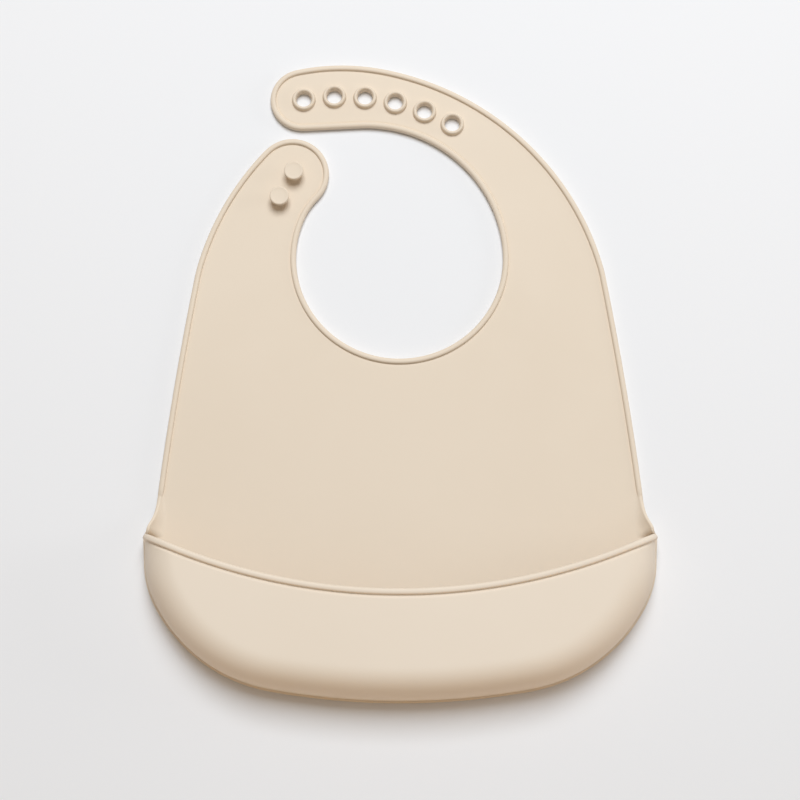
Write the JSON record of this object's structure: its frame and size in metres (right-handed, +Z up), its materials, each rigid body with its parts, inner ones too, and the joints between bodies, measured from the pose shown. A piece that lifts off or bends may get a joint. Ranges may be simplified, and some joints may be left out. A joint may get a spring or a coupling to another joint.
{
  "type": "silicone bib",
  "caption": "One-shot silicone bib with a catch pocket, a neck cut-out and two bending straps that fasten by studs pushed through collared holes.",
  "frame": {"origin": "middle of the bib's length and width, on the surface that it lies on", "axes": "+Z up from the back to the front face, +Y towards the neck and the straps, +X to the right as seen from the front"},
  "size_m": [0.23, 0.2954, 0.0277],
  "materials": {
    "silicone": "smooth matte silicone"
  },
  "bodies": {
    "lower_half": {"lower_panel": "silicone", "left_side_rim": "silicone", "right_side_rim": "silicone", "base_flange": "silicone", "pocket_wall": "silicone", "pocket_corners": "silicone", "lip_ends": "silicone"},
    "pocket_front": {"pocket_front": "silicone", "pocket_lip": "silicone"},
    "upper_half": {"upper_panel": "silicone", "left_shoulder_rim": "silicone", "right_shoulder_rim": "silicone", "neck_rim": "silicone"},
    "stud_strap_root": {"stud_strap_root": "silicone", "stud_strap_root_rims": "silicone"},
    "stud_strap_tip": {"stud_strap_tip": "silicone", "stud_strap_tip_rim": "silicone", "lower_stud": "silicone", "upper_stud": "silicone"},
    "hole_strap_root": {"hole_strap_root": "silicone", "hole_strap_root_rims": "silicone"},
    "hole_strap_middle": {"hole_strap_middle": "silicone", "hole_strap_middle_rims": "silicone", "eyelet_4": "silicone", "eyelet_5": "silicone", "eyelet_6": "silicone"},
    "hole_strap_tip": {"hole_strap_tip": "silicone", "hole_strap_tip_rim": "silicone", "eyelet_1": "silicone", "eyelet_2": "silicone", "eyelet_3": "silicone"}
  },
  "joints": [
    {"name": "panel_fold", "type": "hinge", "parent": "lower_half", "child": "upper_half", "pos_m": [0, -0.03073, 0.0032], "axis": [1, 0, 0], "range_deg": [0, 90], "stiffness_Nm_per_rad": 0.009},
    {"name": "pocket_press", "type": "slide", "parent": "lower_half", "child": "pocket_front", "axis": [0, 0, -1], "range_m": [0, 0.01], "stiffness_N_per_m": 120, "springref_m": -0.003},
    {"name": "stud_strap_bend", "type": "hinge", "parent": "upper_half", "child": "stud_strap_root", "pos_m": [-0.0701, 0.05437, 0.0032], "axis": [1, 0, 0], "range_deg": [0, 35], "stiffness_Nm_per_rad": 0.003},
    {"name": "stud_strap_curl", "type": "hinge", "parent": "stud_strap_root", "child": "stud_strap_tip", "pos_m": [-0.06442, 0.07276, 0.0032], "axis": [0.9613, -0.2756, 0], "range_deg": [0, 35], "stiffness_Nm_per_rad": 0.0025},
    {"name": "hole_strap_bend", "type": "hinge", "parent": "upper_half", "child": "hole_strap_root", "pos_m": [0.0698, 0.05437, 0.0032], "axis": [1, 0, 0], "range_deg": [0, 40], "stiffness_Nm_per_rad": 0.003},
    {"name": "hole_strap_curl", "type": "hinge", "parent": "hole_strap_root", "child": "hole_strap_middle", "pos_m": [0.03123, 0.11417, 0.0032], "axis": [0.565, 0.8251, 0], "range_deg": [0, 40], "stiffness_Nm_per_rad": 0.0025},
    {"name": "hole_strap_tip_curl", "type": "hinge", "parent": "hole_strap_middle", "child": "hole_strap_tip", "pos_m": [-0.00937, 0.13067, 0.0032], "axis": [0.1704, 0.9854, 0], "range_deg": [0, 40], "stiffness_Nm_per_rad": 0.0025}
  ],
  "couplings": [
    {"joint": "stud_strap_curl", "follows": "stud_strap_bend", "ratio": 1},
    {"joint": "hole_strap_curl", "follows": "hole_strap_bend", "ratio": 1},
    {"joint": "hole_strap_tip_curl", "follows": "hole_strap_bend", "ratio": 1}
  ]
}
